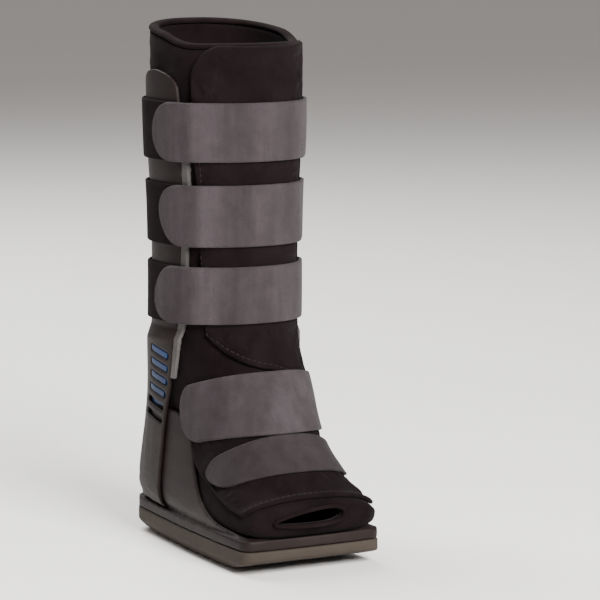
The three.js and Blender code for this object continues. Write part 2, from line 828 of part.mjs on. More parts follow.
// Materials
const material = (color, roughness) => new THREE.MeshStandardMaterial({ color, roughness, metalness: 0 });
const solePlastic = material(0x4a423b, 0.75);
const shellPlastic = material(0x3b3735, 0.55);
const edgePlastic = material(0x8a8786, 0.5);
const ventBlue = material(0x2c5f9e, 0.5);
const foamFabric = material(0x1d1a1b, 0.95);
const loopFabric = material(0x5b5459, 0.95);
const darkLoop = material(0x463f42, 0.95);
const bandFabric = material(0x1a1718, 0.9);

const boot = new THREE.Group();
function add(name, geometry, look, parent = boot) {
  const mesh = new THREE.Mesh(geometry, look);
  mesh.name = name;
  parent.add(mesh);
}

function soleGroup() {
  const group = new THREE.Group();
  add("outsole", outsole(), solePlastic, group);
  add("foot_shell", footShell(), shellPlastic, group);
  return group;
}

function uprightGroup(name, side) {
  const group = new THREE.Group();
  add("upright_" + name, upright(side), shellPlastic, group);
  add("edge_strip_" + name, edgeStrip(side), edgePlastic, group);
  add("vent_" + name, vent(side), ventBlue, group);
  return group;
}

function bootieGroup() {
  const group = new THREE.Group();
  add("liner", liner(), foamFabric, group);
  add("leg_flap", legFlap(), foamFabric, group);
  add("foot_flap", footFlap(), foamFabric, group);
  add("rim_binding", rimBinding(), bandFabric, group);
  add("toe_binding", toeBinding(), bandFabric, group);
  return group;
}

function strapGroup() {
  const group = new THREE.Group();
  for (let i = 0; i < calfStraps; i++) {
    add("calf_strap_" + (i + 1), calfStrap(i), loopFabric, group);
    add("back_band_" + (i + 1), backBand(i), bandFabric, group);
  }
  add("instep_strap", instepStrap(), loopFabric, group);
  add("forefoot_strap", forefootStrap(), darkLoop, group);
  return group;
}

boot.add(soleGroup(), uprightGroup("lateral", -1), uprightGroup("medial", 1), bootieGroup(), strapGroup());

export default boot;
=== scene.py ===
"""The walking boot, dressed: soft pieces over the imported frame, materials, light and camera."""
import math

import bmesh
import bpy
import numpy as np
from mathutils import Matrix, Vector, noise
from mathutils.bvhtree import BVHTree


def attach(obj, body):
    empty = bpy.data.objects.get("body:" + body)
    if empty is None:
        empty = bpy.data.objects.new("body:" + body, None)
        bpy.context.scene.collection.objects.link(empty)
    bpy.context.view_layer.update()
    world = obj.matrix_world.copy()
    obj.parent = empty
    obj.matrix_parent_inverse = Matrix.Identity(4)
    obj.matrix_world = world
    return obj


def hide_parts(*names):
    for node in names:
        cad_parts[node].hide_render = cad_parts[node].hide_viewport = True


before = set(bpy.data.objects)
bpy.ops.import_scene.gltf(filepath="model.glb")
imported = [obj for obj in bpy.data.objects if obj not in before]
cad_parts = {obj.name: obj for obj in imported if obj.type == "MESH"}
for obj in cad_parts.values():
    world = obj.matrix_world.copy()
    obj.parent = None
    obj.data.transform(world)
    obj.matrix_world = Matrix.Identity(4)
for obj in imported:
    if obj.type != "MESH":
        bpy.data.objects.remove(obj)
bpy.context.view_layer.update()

MM = 0.001
rad = math.radians

# Sizes of the solids, in millimetres, as in the part's source
GAP = 0.35
LAYER_GAP = 0.6
LEG_HALF = 57.5
DEPTH_HALF = 59.0
LINER_WALL = 7.0
ANKLE = 181.0
RIM = 412.0
RIM_BACK_RISE = 17.0
TOE_TOP = 54.0
LINER_FLOOR = 25.7
LINER_HEEL = 94 - 3 - GAP - 1
LINER_TOE = 150.5
HEEL_HALF = 99 / 2 - 3 - GAP - 0.6
FORE_HALF = 125 / 2 - 3 - GAP - 0.6
BINDING = 5.0
FLAP = 3.0
UPRIGHT_WIDTH = 68.0
STRIP_WIDTH = 6.0
STRAP = 2.4
BAND = 2.2
STRAP_WIDTH = 50.0
STRAP_PITCH = 67.0
LOW_STRAP = 182.0
FLAP_BASE = LAYER_GAP * 1.4
STRAP_BASE = FLAP_BASE + FLAP + LAYER_GAP
TOE_OPENING_HALF = 30.0
TOE_OPENING_HEIGHT = 14.5
TOE_OPENING_RISE = 12.0
TOE_OPENING_MIDDLE = -5.0

# The leg's sections, each with up, wide, deep as shares of the leg's sizes
LEG_ROWS = [
    (1, 1, 1.02),
    (0.83, 1.01, 1),
    (0.6, 0.99, 0.98),
    (0.45, 0.945, 0.95),
    (0.2, 0.93, 0.94),
    (0, 0.94, 0.95),
]
# The foot's sections, each with reach, high, rear, low, fore, ankle, square, crown
FOOT_ROWS = [
    (0.01, 0.955, 0.66, 0.91, 0.3, 0.9, 2.3, 2.3),
    (0.045, 0.875, 0.675, 0.79, 0.3, 0.8, 2.3, 2.4),
    (0.105, 0.8, 0.715, 0.61, 0.3, 0.6, 2.3, 2.6),
    (0.18, 0.73, 0.79, 0.44, 0.3, 0.4, 2.4, 2.8),
    (0.255, 0.64, 0.88, 0.29, 0.3, 0.22, 2.5, 2.9),
    (0.33, 0.54, 0.95, 0.16, 0.34, 0.1, 2.6, 2.9),
    (0.405, 0.44, 0.945, 0.065, 0.4, 0.04, 2.8, 2.9),
    (0.485, 0.345, 0.81, 0.008, 0.48, 0, 3, 2.8),
    (0.57, 0.26, 0.51, 0, 0.58, 0, 3.3, 2.7),
    (0.64, 0.213, 0.17, 0, 0.66, 0, 3.6, 2.6),
    (0.73, 0.145, -0.13, 0, 0.82, 0, 4, 2.5),
    (0.82, 0.088, -0.4, 0, 0.96, 0, 4, 2.4),
    (0.905, 0.044, -0.645, 0, 1, 0, 4, 2.3),
    (0.97, 0.025, -0.85, 0.003, 0.99, 0, 3.6, 2.3),
    (0.992, 0.005, -0.965, 0.012, 0.9, 0, 3.2, 2.3),
]
ANKLE_STATION = len(LEG_ROWS) - 1
LAST = len(LEG_ROWS) + len(FOOT_ROWS) - 1


def mix(a, b, t):
    return a + (b - a) * t


def step(low, high, x):
    """0 below low, 1 above high, smooth between."""
    t = np.clip((np.asarray(x, float) - low) / (high - low), 0, 1)
    return t * t * (3 - 2 * t)


def full_turn(count):
    """Angles once round, without the last, which is the first again."""
    return np.linspace(0, 2 * math.pi, count, endpoint=False)


def stations():
    """One row per section: front y, z, back y, z, half width, square, crown."""
    rows = []
    for i, (up, wide, deep) in enumerate(LEG_ROWS):
        z = mix(ANKLE, RIM, up)
        back = z + (RIM_BACK_RISE if i == 0 else 0)
        rows.append((-DEPTH_HALF * deep, z, DEPTH_HALF * deep, back, LEG_HALF * wide, 2.3, 2.3))
    lowest = LEG_ROWS[-1]
    for reach, high, rear, low, fore, ankle, square, crown in FOOT_ROWS:
        ball = mix(HEEL_HALF, FORE_HALF, fore)
        rows.append((
            -mix(DEPTH_HALF * lowest[2], LINER_TOE, reach),
            mix(TOE_TOP, ANKLE, high),
            rear * (LINER_HEEL if rear > 0 else LINER_TOE),
            mix(LINER_FLOOR, ANKLE, low),
            mix(ball, LEG_HALF * lowest[1], ankle),
            square,
            crown,
        ))
    return np.array(rows)


SECTIONS = stations()


def section(s):
    """The sections at station numbers s, with the kinks at the stations rounded off."""
    s = np.clip(np.asarray(s, float), 0, LAST)
    padded = np.vstack([2 * SECTIONS[0] - SECTIONS[1], SECTIONS, 2 * SECTIONS[-1] - SECTIONS[-2]])
    i = np.clip(np.round(s).astype(int), 0, LAST)
    t = (s - i)[..., None]
    before, here, after = padded[i], padded[i + 1], padded[i + 2]
    return 0.5 * (0.5 - t) ** 2 * before + (0.75 - t * t) * here + 0.5 * (0.5 + t) ** 2 * after


def surface(s, turn, offset, rows=None):
    """Points of the bootie's outer surface moved out by offset, in millimetres."""
    s, turn, offset = np.broadcast_arrays(*(np.asarray(v, float) for v in (s, turn, offset)))
    row = section(s) if rows is None else np.broadcast_to(rows, (*s.shape, rows.shape[-1]))
    fy, fz, by, bz, half, square, crown = np.moveaxis(row, -1, 0)
    ay, az = fy - by, fz - bz
    length = np.hypot(ay, az)
    c, d = np.cos(turn), np.sin(turn)
    power = 2 / np.where(c > 0, crown, square)
    along = np.sign(c) * np.abs(c) ** power * (length / 2 + offset)
    side = np.sign(d) * np.abs(d) ** power
    x = side * (half + offset)
    y = (fy + by) / 2 + ay / length * along
    z = (fz + bz) / 2 + az / length * along
    return np.stack([x, y, z], -1)


def station_at_height(z):
    fronts = SECTIONS[:, 1]
    return float(np.interp(-z, -fronts, np.arange(len(fronts))))


def station_along_instep(distance):
    fronts = SECTIONS[ANKLE_STATION:, :2]
    gone = np.concatenate([[0], np.cumsum(np.hypot(*np.diff(fronts, axis=0).T))])
    return ANKLE_STATION + float(np.interp(distance, gone, np.arange(len(gone))))


# Mesh making
def grain(points, scale, seed):
    """Smooth noise at points in millimetres, about -1 to 1, features of about 1 / scale mm."""
    flat = np.asarray(points, float).reshape(-1, 3) * scale
    x, y, z = seed * 17.3, -seed * 5.1, seed * 9.7
    out = [noise.noise(Vector((p[0] + x, p[1] + y, p[2] + z))) for p in flat]
    return np.array(out).reshape(np.asarray(points).shape[:-1])


def mesh_object(name, points, faces):
    """A mesh object from points in millimetres and lists of corner numbers."""
    mesh = bpy.data.meshes.new(name)
    mesh.from_pydata([tuple(p) for p in np.asarray(points, float) * MM], [], faces)
    mesh.validate()
    mesh.polygons.foreach_set("use_smooth", [True] * len(mesh.polygons))
    thing = bpy.data.objects.new(name, mesh)
    bpy.context.scene.collection.objects.link(thing)
    return thing


def grid_faces(rows, columns, start=0, wrap=False, flip=False):
    """Quads of a grid of points numbered row by row."""
    faces = []
    for r in range(rows - 1):
        for c in range(columns if wrap else columns - 1):
            d = (c + 1) % columns
            quad = [r * columns + c, r * columns + d, (r + 1) * columns + d, (r + 1) * columns + c]
            faces.append([start + v for v in (quad[::-1] if flip else quad)])
    return faces


def facing_out(thing):
    """Turns the faces of a closed mesh outwards."""
    work = bmesh.new()
    work.from_mesh(thing.data)
    bmesh.ops.remove_doubles(work, verts=work.verts, dist=1e-6)
    bmesh.ops.recalc_face_normals(work, faces=work.faces)
    work.to_mesh(thing.data)
    work.free()
    return thing


def distances(line):
    """How far along a line of points each point lies."""
    return np.concatenate([[0], np.cumsum(np.linalg.norm(np.diff(line, axis=0), axis=1))])


def slab(name, outer, inner):
    """A closed sheet between two grids of the same shape, joined along all four edges."""
    rows, columns = outer.shape[:2]
    count = rows * columns
    faces = grid_faces(rows, columns) + grid_faces(rows, columns, count, flip=True)
    edge = list(range(columns))
    edge += [r * columns + columns - 1 for r in range(1, rows)]
    edge += [(rows - 1) * columns + c for c in range(columns - 2, -1, -1)]
    edge += [r * columns for r in range(rows - 2, 0, -1)]
    for a, b in zip(edge, edge[1:] + edge[:1]):
        faces.append([b, a, count + a, count + b])
    points = np.concatenate([outer.reshape(-1, 3), inner.reshape(-1, 3)])
    return facing_out(mesh_object(name, points, faces))


def ring_tube(name, loop, radius_up, radius_out, up, out, sides=14):
    """A roll along a closed loop of points, with its own up and out directions."""
    points = []
    for k in range(len(loop)):
        for j in range(sides):
            a = 2 * math.pi * j / sides
            aside = out[k] * radius_out * math.cos(a)
            points.append(loop[k] + up[k] * radius_up * math.sin(a) + aside)
    faces = []
    n = len(loop)
    for k in range(n):
        m = (k + 1) % n
        for j in range(sides):
            i = (j + 1) % sides
            faces.append([k * sides + j, k * sides + i, m * sides + i, m * sides + j])
    return facing_out(mesh_object(name, points, faces))


def normals(grid, wrap=False):
    """Unit normals of a grid of points, pointing away from the middle of each row."""
    if wrap:
        across = np.roll(grid, -1, axis=1) - np.roll(grid, 1, axis=1)
    else:
        across = np.gradient(grid, axis=1)
    normal = np.cross(np.gradient(grid, axis=0), across)
    normal = normal / np.maximum(np.linalg.norm(normal, axis=-1, keepdims=True), 1e-9)
    outward = np.sum(normal * (grid - grid.mean(axis=1, keepdims=True)), axis=-1, keepdims=True)
    return normal * np.where(outward < 0, -1, 1)


def resample(values, rows, columns, wrap=False):
    """A grid of numbers spread evenly over more rows and columns."""
    if wrap:
        values = np.hstack([values, values[:, :1]])
    old_rows, old_columns = values.shape
    r = np.linspace(0, old_rows - 1, rows)
    c = np.arange(columns) * (old_columns - 1) / (columns if wrap else columns - 1)
    down = np.array([np.interp(r, np.arange(old_rows), line) for line in values.T]).T
    return np.array([np.interp(c, np.arange(old_columns), line) for line in down])


# Cloth
CLOTH_FRAMES = 20
CLOTH_PRESSURE = 4
# How much larger than its place a cover is cut
BOOTIE_GROWTH = 0.03
FLAP_GROWTH = 0.04
# How far a cover may move in and out, in millimetres
BOOTIE_LIMITS = (1.2, 0.35)
FLAP_LIMITS = (1.5, 1.9)


def cloth_lift(grid, held, grow, wrap=False):
    """How far a cover stands out, at each point of a grid, after a short cloth simulation.

    The cover is cut larger than its place by grow and is held where held is 1, so it
    wrinkles in between. Every second row and column is simulated."""
    rows, columns = grid.shape[:2]
    coarse = grid[::2, ::2]
    shape = coarse.shape[:2]
    cover = mesh_object("cover_trial", coarse.reshape(-1, 3), grid_faces(*shape, wrap=wrap))
    pins = cover.vertex_groups.new(name="held")
    for index, weight in enumerate(held[::2, ::2].reshape(-1)):
        pins.add([index], float(weight), "REPLACE")
    cloth = cover.modifiers.new("cloth", "CLOTH")
    cloth.settings.vertex_group_mass = "held"
    cloth.settings.use_pressure = True
    cloth.settings.uniform_pressure_force = CLOTH_PRESSURE
    cloth.settings.shrink_min = -grow
    cloth.settings.effector_weights.gravity = 0
    cloth.point_cache.frame_start = 1
    cloth.point_cache.frame_end = CLOTH_FRAMES
    for number in range(1, CLOTH_FRAMES + 1):
        bpy.context.scene.frame_set(number)
    graph = bpy.context.evaluated_depsgraph_get()
    settled = bpy.data.meshes.new_from_object(cover.evaluated_get(graph))
    moved = np.empty(len(settled.vertices) * 3)
    settled.vertices.foreach_get("co", moved)
    bpy.data.objects.remove(cover)
    bpy.data.meshes.remove(settled)
    bpy.context.scene.frame_set(1)
    away = (moved.reshape(*shape, 3) / MM - coarse) * normals(coarse, wrap)
    return resample(away.sum(-1), rows, columns, wrap)


def limited(lift, inward, outward):
    """Lift, held softly between -inward and outward."""
    return np.where(lift > 0, outward * np.tanh(lift / outward), inward * np.tanh(lift / inward))


def dress(piece, slot, look, *nodes):
    """Gives a new piece its finish, its body and the nodes that it stands for."""
    piece.data.materials.clear()
    piece.data.materials.append(look)
    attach(piece, "root")
    if nodes:
        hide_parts(*nodes)
    return piece


# Materials
class Nodes:
    """A short way to write a node material."""

    def __init__(self, name):
        self.look = bpy.data.materials.new(name)
        self.look.use_nodes = True
        self.tree = self.look.node_tree
        self.shader = self.tree.nodes["Principled BSDF"]
        place = self.tree.nodes.new("ShaderNodeTexCoord")
        self.place = place.outputs["Object"]

    def put(self, kind, **values):
        node = self.tree.nodes.new(kind)
        for key, value in values.items():
            if hasattr(node, key):
                setattr(node, key, value)
            else:
                node.inputs[key.replace("_", " ")].default_value = value
        return node

    def join(self, source, target):
        self.tree.links.new(source, target)

    def noise(self, scale, detail=4.0, rough=0.6, stretch=(1, 1, 1)):
        """Noise with features of about 1 / scale metres; stretch squeezes it along each axis."""
        turned = self.put("ShaderNodeMapping")
        turned.inputs["Scale"].default_value = stretch
        self.join(self.place, turned.inputs["Vector"])
        made = self.put("ShaderNodeTexNoise")
        made.inputs["Scale"].default_value = scale
        made.inputs["Detail"].default_value = detail
        made.inputs["Roughness"].default_value = rough
        self.join(turned.outputs["Vector"], made.inputs["Vector"])
        return made.outputs["Fac"]

    def cells(self, scale):
        """Small rounded pits, about 1 / scale metres apart."""
        made = self.put("ShaderNodeTexVoronoi")
        made.inputs["Scale"].default_value = scale
        self.join(self.place, made.inputs["Vector"])
        return made.outputs["Distance"]

    def ribs(self, scale, distortion):
        """Level bands, as woven tape has."""
        made = self.put("ShaderNodeTexWave", bands_direction="Z")
        made.inputs["Scale"].default_value = scale
        made.inputs["Distortion"].default_value = distortion
        self.join(self.place, made.inputs["Vector"])
        return made.outputs["Fac"]

    def ramp(self, source, low, high, dark, light):
        made = self.put("ShaderNodeValToRGB")
        made.color_ramp.elements[0].position = low
        made.color_ramp.elements[1].position = high
        made.color_ramp.elements[0].color = (*dark, 1)
        made.color_ramp.elements[1].color = (*light, 1)
        self.join(source, made.inputs["Fac"])
        return made.outputs["Color"]

    def blend(self, a, b, share, mode="MIX"):
        made = self.put("ShaderNodeMix", data_type="RGBA", blend_type=mode)
        if isinstance(share, float):
            made.inputs["Factor"].default_value = share
        else:
            self.join(share, made.inputs["Factor"])
        for source, socket in ((a, made.inputs[6]), (b, made.inputs[7])):
            if isinstance(source, tuple):
                socket.default_value = (*source, 1)
            else:
                self.join(source, socket)
        return made.outputs[2]

    def tint(self, tone, source, low, high, dark, light, share):
        """Multiplies a tone by a ramp from dark to light."""
        return self.blend(tone, self.ramp(source, low, high, dark, light), share, "MULTIPLY")

    def shade(self, tone, source, low, high, dark, share):
        """Darkens a tone to the grey share dark where source is low."""
        return self.tint(tone, source, low, high, (dark, dark, dark), (1, 1, 1), share)

    def bump(self, height, strength, distance, normal=None):
        made = self.put("ShaderNodeBump")
        made.inputs["Strength"].default_value = strength
        made.inputs["Distance"].default_value = distance
        self.join(height, made.inputs["Height"])
        if normal:
            self.join(normal, made.inputs["Normal"])
        return made.outputs["Normal"]

    def done(self, colour, roughness, normal=None, **sockets):
        self.join(colour, self.shader.inputs["Base Color"])
        if isinstance(roughness, float):
            self.shader.inputs["Roughness"].default_value = roughness
        else:
            self.join(roughness, self.shader.inputs["Roughness"])
        if normal:
            self.join(normal, self.shader.inputs["Normal"])
        for key, value in sockets.items():
            self.shader.inputs[key.replace("_", " ")].default_value = value
        return self.look

    def spread(self, source, low, high):
        """A number between low and high that follows source."""
        made = self.put("ShaderNodeMapRange")
        made.inputs["To Min"].default_value = low
        made.inputs["To Max"].default_value = high
        self.join(source, made.inputs["Value"])
        return made.outputs["Result"]


def loop_cloth(name, dark, light, sheen):
    """Brushed loop pile: short curly fibres, with soft vertical bands and streaks of painted
    highlight where the brushed pile would catch the light.
    """
    m = Nodes(name)
    # Painted highlight: broad vertical bands ramp the pile from its dark to its light colour, and
    # narrow vertical streaks lighten it further, standing in for light caught by the brushed pile
    highlight_bands = m.noise(34, 3.0, 0.55, (1, 1, 0.12))
    highlight_streaks = m.noise(150, 2.0, 0.5, (1, 1, 0.04))
    blotch = m.noise(90, 4.0, 0.6)
    fibre = m.noise(1500, 5.0, 0.75)
    tone = m.ramp(highlight_bands, 0.3, 0.72, dark, light)
    tone = m.shade(tone, blotch, 0.3, 0.7, 0.8, 1.0)
    tone = m.tint(tone, highlight_streaks, 0.35, 0.7, (0.91, 0.905, 0.905), (1.06, 1.06, 1.065), 1.0)
    tone = m.shade(tone, fibre, 0.32, 0.68, 0.62, 0.8)
    loops = m.cells(1100)
    normal = m.bump(fibre, 0.55, 0.0009)
    normal = m.bump(loops, 0.35, 0.0007, normal)
    normal = m.bump(blotch, 0.25, 0.0016, normal)
    return m.done(
        tone, 0.96, normal, Sheen_Weight=sheen, Sheen_Roughness=0.5, Specular_IOR_Level=0.08
    )


def foam_cloth(name, dark, light):
    """The bootie's thin knitted cover over foam."""
    m = Nodes(name)
    broad = m.noise(28, 4.0, 0.6)
    fine = m.noise(1300, 4.0, 0.7)
    tone = m.ramp(broad, 0.3, 0.7, dark, light)
    tone = m.shade(tone, fine, 0.3, 0.7, 0.65, 0.9)
    normal = m.bump(fine, 0.4, 0.0006)
    normal = m.bump(m.noise(120, 4.0, 0.6), 0.3, 0.002, normal)
    return m.done(
        tone, 0.95, normal, Sheen_Weight=0.02, Sheen_Roughness=0.5, Specular_IOR_Level=0.035
    )


def tape(name, dark, light, ribs):
    """Woven edge tape or webbing, with fine ribs."""
    m = Nodes(name)
    rib = m.ribs(ribs, 0.4)
    fine = m.noise(1600, 3.0, 0.7)
    tone = m.ramp(m.noise(60, 3.0), 0.3, 0.7, dark, light)
    tone = m.shade(tone, rib, 0.1, 0.9, 0.72, 0.8)
    normal = m.bump(rib, 0.35, 0.0005)
    normal = m.bump(fine, 0.3, 0.0005, normal)
    return m.done(tone, 0.9, normal, Sheen_Weight=0.01, Specular_IOR_Level=0.04)


def moulded(name, dark, light, rough_low, rough_high):
    """Moulded plastic with a fine leather-like grain and faint scuffs."""
    m = Nodes(name)
    broad = m.noise(22, 4.0, 0.55)
    pits = m.cells(900)
    fine = m.noise(1260, 3.0, 0.6)
    scuff = m.noise(160, 6.0, 0.7, (1, 0.25, 1))
    tone = m.ramp(broad, 0.3, 0.72, dark, light)
    tone = m.tint(tone, scuff, 0.56, 0.8, (1, 1, 1), (1.25, 1.24, 1.22), 0.5)
    rough = m.spread(scuff, rough_low, rough_high)
    normal = m.bump(pits, 0.12, 0.0004)
    normal = m.bump(fine, 0.12, 0.0004, normal)
    return m.done(tone, rough, normal, Specular_IOR_Level=0.12)


def sole_rubber():
    """Dull brown rubber, a little dusty."""
    m = Nodes("sole_rubber")
    broad = m.noise(18, 5.0, 0.6)
    speck = m.noise(1100, 4.0, 0.7)
    dust = m.noise(70, 5.0, 0.65)
    tone = m.ramp(broad, 0.3, 0.7, (0.027, 0.0203, 0.0155), (0.042, 0.0328, 0.0255))
    tone = m.shade(tone, speck, 0.3, 0.7, 0.75, 0.8)
    tone = m.blend(tone, (0.055, 0.046, 0.037), m.spread(dust, 0.0, 0.25))
    normal = m.bump(speck, 0.35, 0.0006)
    return m.done(tone, m.spread(dust, 0.62, 0.85), normal, Specular_IOR_Level=0.15)


LOOP = loop_cloth("loop_grey", (0.0305, 0.0238, 0.0258), (0.0595, 0.0485, 0.053), 0.05)
DARK_LOOP = loop_cloth("loop_charcoal", (0.0205, 0.0152, 0.0163), (0.037, 0.029, 0.031), 0.05)
FOAM = foam_cloth("bootie_cover", (0.0048, 0.0027, 0.003), (0.0098, 0.006, 0.0067))
TAPE = tape("edge_tape", (0.0052, 0.0026, 0.0029), (0.0105, 0.006, 0.0065), 420)
WEBBING = tape("back_webbing", (0.0045, 0.0023, 0.0025), (0.009, 0.005, 0.0055), 300)
SHELL = moulded("shell_moulding", (0.0085, 0.0053, 0.005), (0.0143, 0.0093, 0.0087), 0.48, 0.65)
STRIP = moulded("strip_moulding", (0.038, 0.0348, 0.034), (0.066, 0.0615, 0.0605), 0.38, 0.52)
VENT = moulded("vent_moulding", (0.0035, 0.0125, 0.045), (0.01, 0.034, 0.11), 0.35, 0.5)
THREAD = tape("sewing_thread", (0.02, 0.015, 0.016), (0.035, 0.028, 0.029), 900)
RUBBER = sole_rubber()


# Rigid pieces: the frame's own solids, rounded over

# The front edge of an upright's panel behind its slots: heights and places, in millimetres
PANEL_FRONT = ((97.5, 122.9, 140.4, 171.6), (0, -8.8, -15, -20.4))
VENT_MARGIN = 6.8
LOWEST_SLOT_TOP = 121.5
VENT_OUTSET = 2.2


def behind_panel(points):
    """Draws an insert in behind its panel's front edge, and out to the panel at its lower edge."""
    front = np.interp(points[:, 2], *PANEL_FRONT) + VENT_MARGIN
    points[:, 1] = np.maximum(points[:, 1], front)
    low = 1 - step(LOWEST_SLOT_TOP - 2, LOWEST_SLOT_TOP, points[:, 2])
    points[:, 0] += np.sign(points[:, 0]) * VENT_OUTSET * low


def surface_tree(rings):
    """Rings of points as a surface that rays can be cast at."""
    faces = grid_faces(len(rings), rings.shape[1], wrap=True)
    return BVHTree.FromPolygons([Vector(p) for p in rings.reshape(-1, 3)], faces)


FACETS = 36
HEIGHTS = np.linspace(27, 405, 190)
BEARINGS = np.linspace(-math.pi, math.pi, 181)
# The rigid pieces keep their place below the first height, and follow the table above the second
TRAY_FADE = (29.5, 33)


def facet_table():
    """How far the round bootie lies outside the faceted one, by height and bearing."""
    turn = full_turn(FACETS)
    rows = np.arange(LAST + 1.0)
    faceted = surface_tree(surface(rows[:, None], turn[None, :], 0, SECTIONS[:, None]))
    turn = full_turn(5 * FACETS)
    rows = np.linspace(0, LAST, 8 * LAST + 1)
    rounded = surface_tree(surface(rows[:, None], turn[None, :], 0))
    table = np.zeros((len(HEIGHTS), len(BEARINGS)))
    for i, z in enumerate(HEIGHTS):
        for j, bearing in enumerate(BEARINGS):
            start = Vector((0, 0, z))
            way = Vector((math.sin(bearing), -math.cos(bearing), 0))
            old = faceted.ray_cast(start, way)[3]
            new = rounded.ray_cast(start, way)[3]
            if old and new:
                table[i, j] = new - old
    return table


def rounded_out(points):
    """Moves points in millimetres from the faceted bootie's shape to the round one's."""
    bearing = np.arctan2(points[:, 0], -points[:, 1])
    row = np.interp(points[:, 2], HEIGHTS, np.arange(len(HEIGHTS)))
    column = np.interp(bearing, BEARINGS, np.arange(len(BEARINGS)))
    i = np.minimum(row.astype(int), len(HEIGHTS) - 2)
    j = np.minimum(column.astype(int), len(BEARINGS) - 2)
    t, u = row - i, column - j
    low = mix(FACET_TABLE[i, j], FACET_TABLE[i, j + 1], u)
    high = mix(FACET_TABLE[i + 1, j], FACET_TABLE[i + 1, j + 1], u)
    reach = mix(low, high, t) * step(*TRAY_FADE, points[:, 2])
    points[:, 0] += reach * np.sin(bearing)
    points[:, 1] -= reach * np.cos(bearing)


def moulded_copy(node, slot, look, voxel, rounds, *changes):
    """A copy of a solid with its facets and edges smoothed, as a moulding has them.

    voxel is the remesh's size in millimetres, rounds how often it is smoothed."""
    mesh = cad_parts[node].data.copy()
    piece = bpy.data.objects.new(node + "_moulded", mesh)
    bpy.context.scene.collection.objects.link(piece)
    remesh = piece.modifiers.new("even", "REMESH")
    remesh.mode = "VOXEL"
    remesh.voxel_size = voxel * MM
    remesh.use_smooth_shade = True
    soften = piece.modifiers.new("soften", "SMOOTH")
    soften.factor = 0.5
    soften.iterations = rounds
    graph = bpy.context.evaluated_depsgraph_get()
    settled = bpy.data.meshes.new_from_object(piece.evaluated_get(graph))
    piece.modifiers.clear()
    piece.data = settled
    settled.polygons.foreach_set("use_smooth", [True] * len(settled.polygons))
    points = np.empty(len(settled.vertices) * 3)
    settled.vertices.foreach_get("co", points)
    points = points.reshape(-1, 3) / MM
    for change in changes:
        change(points)
    settled.vertices.foreach_set("co", (points * MM).reshape(-1))
    return dress(piece, slot, look, node)


FACET_TABLE = facet_table()


def rigid_pieces():
    """The sole, the shell and each side's upright, strip and insert."""
    moulded_copy("outsole", "sole_rubber", RUBBER, 1.3, 4)
    moulded_copy("foot_shell", "shell_plastic", SHELL, 1.3, 5, rounded_out)
    for side in ("lateral", "medial"):
        moulded_copy("upright_" + side, "shell_plastic", SHELL, 0.8, 9, rounded_out)
        moulded_copy("edge_strip_" + side, "edge_plastic", STRIP, 0.6, 6, rounded_out)
        moulded_copy("vent_" + side, "vent_plastic", VENT, 0.6, 4, rounded_out, behind_panel)


# The bootie
STRAP_STARTS = [rad(-91), rad(-85), rad(-89)]
STRAP_END = rad(112)
BAND_LAP = rad(26)
LAP_RISE = BAND + LAYER_GAP
LAP_RAMP = rad(14)
LAP_LEAD = BAND_LAP + LAP_RAMP + rad(10)
STRAP_LEVELS = [LOW_STRAP + i * STRAP_PITCH for i in range(3)]


def strap_cover(z):
    """1 at heights under a calf strap, 0 in the gaps between them."""
    cover = np.zeros_like(np.asarray(z, float))
    for low in STRAP_LEVELS:
        high = low + STRAP_WIDTH
        here = step(low - 5, low + 5, z) * (1 - step(high - 5, high + 5, z))
        cover = np.maximum(cover, here)
    return cover


def opening_ring(behind, grow, count):
    """The toe opening's outline: a drop on its side, high at the big toe and low at the small one."""
    turn = full_turn(count)
    c = np.cos(turn)
    side = np.sign(np.sin(turn)) * np.abs(np.sin(turn)) ** 0.85
    tall = mix(0.3, 1, (side + 1) / 2) * TOE_OPENING_HEIGHT / 2
    sink = (1 - side) * TOE_OPENING_HEIGHT * 0.12
    middle = LINER_FLOOR + TOE_OPENING_RISE + TOE_OPENING_HEIGHT / 2
    x = TOE_OPENING_MIDDLE + side * (TOE_OPENING_HALF + grow)
    y = np.full(count, -LINER_TOE - 0.5 + behind)
    z = middle - sink + np.sign(c) * np.abs(c) ** 0.85 * (tall + grow)
    return np.stack([x, y, z], -1)


RIM_DIP = 3.5


def rim_dip(points):
    """How far the rim sinks between its sides and its front, in millimetres."""
    forward = np.clip(-points[..., 1] / DEPTH_HALF, 0, 1)
    return RIM_DIP * np.sin(math.pi * forward) ** 1.5


# How far the bootie's outer face stays inside the solid's, and the heights over which the shell's
# hold on it ends
BOOTIE_INSET = 0.3
SHELL_HOLD = (100, 116)


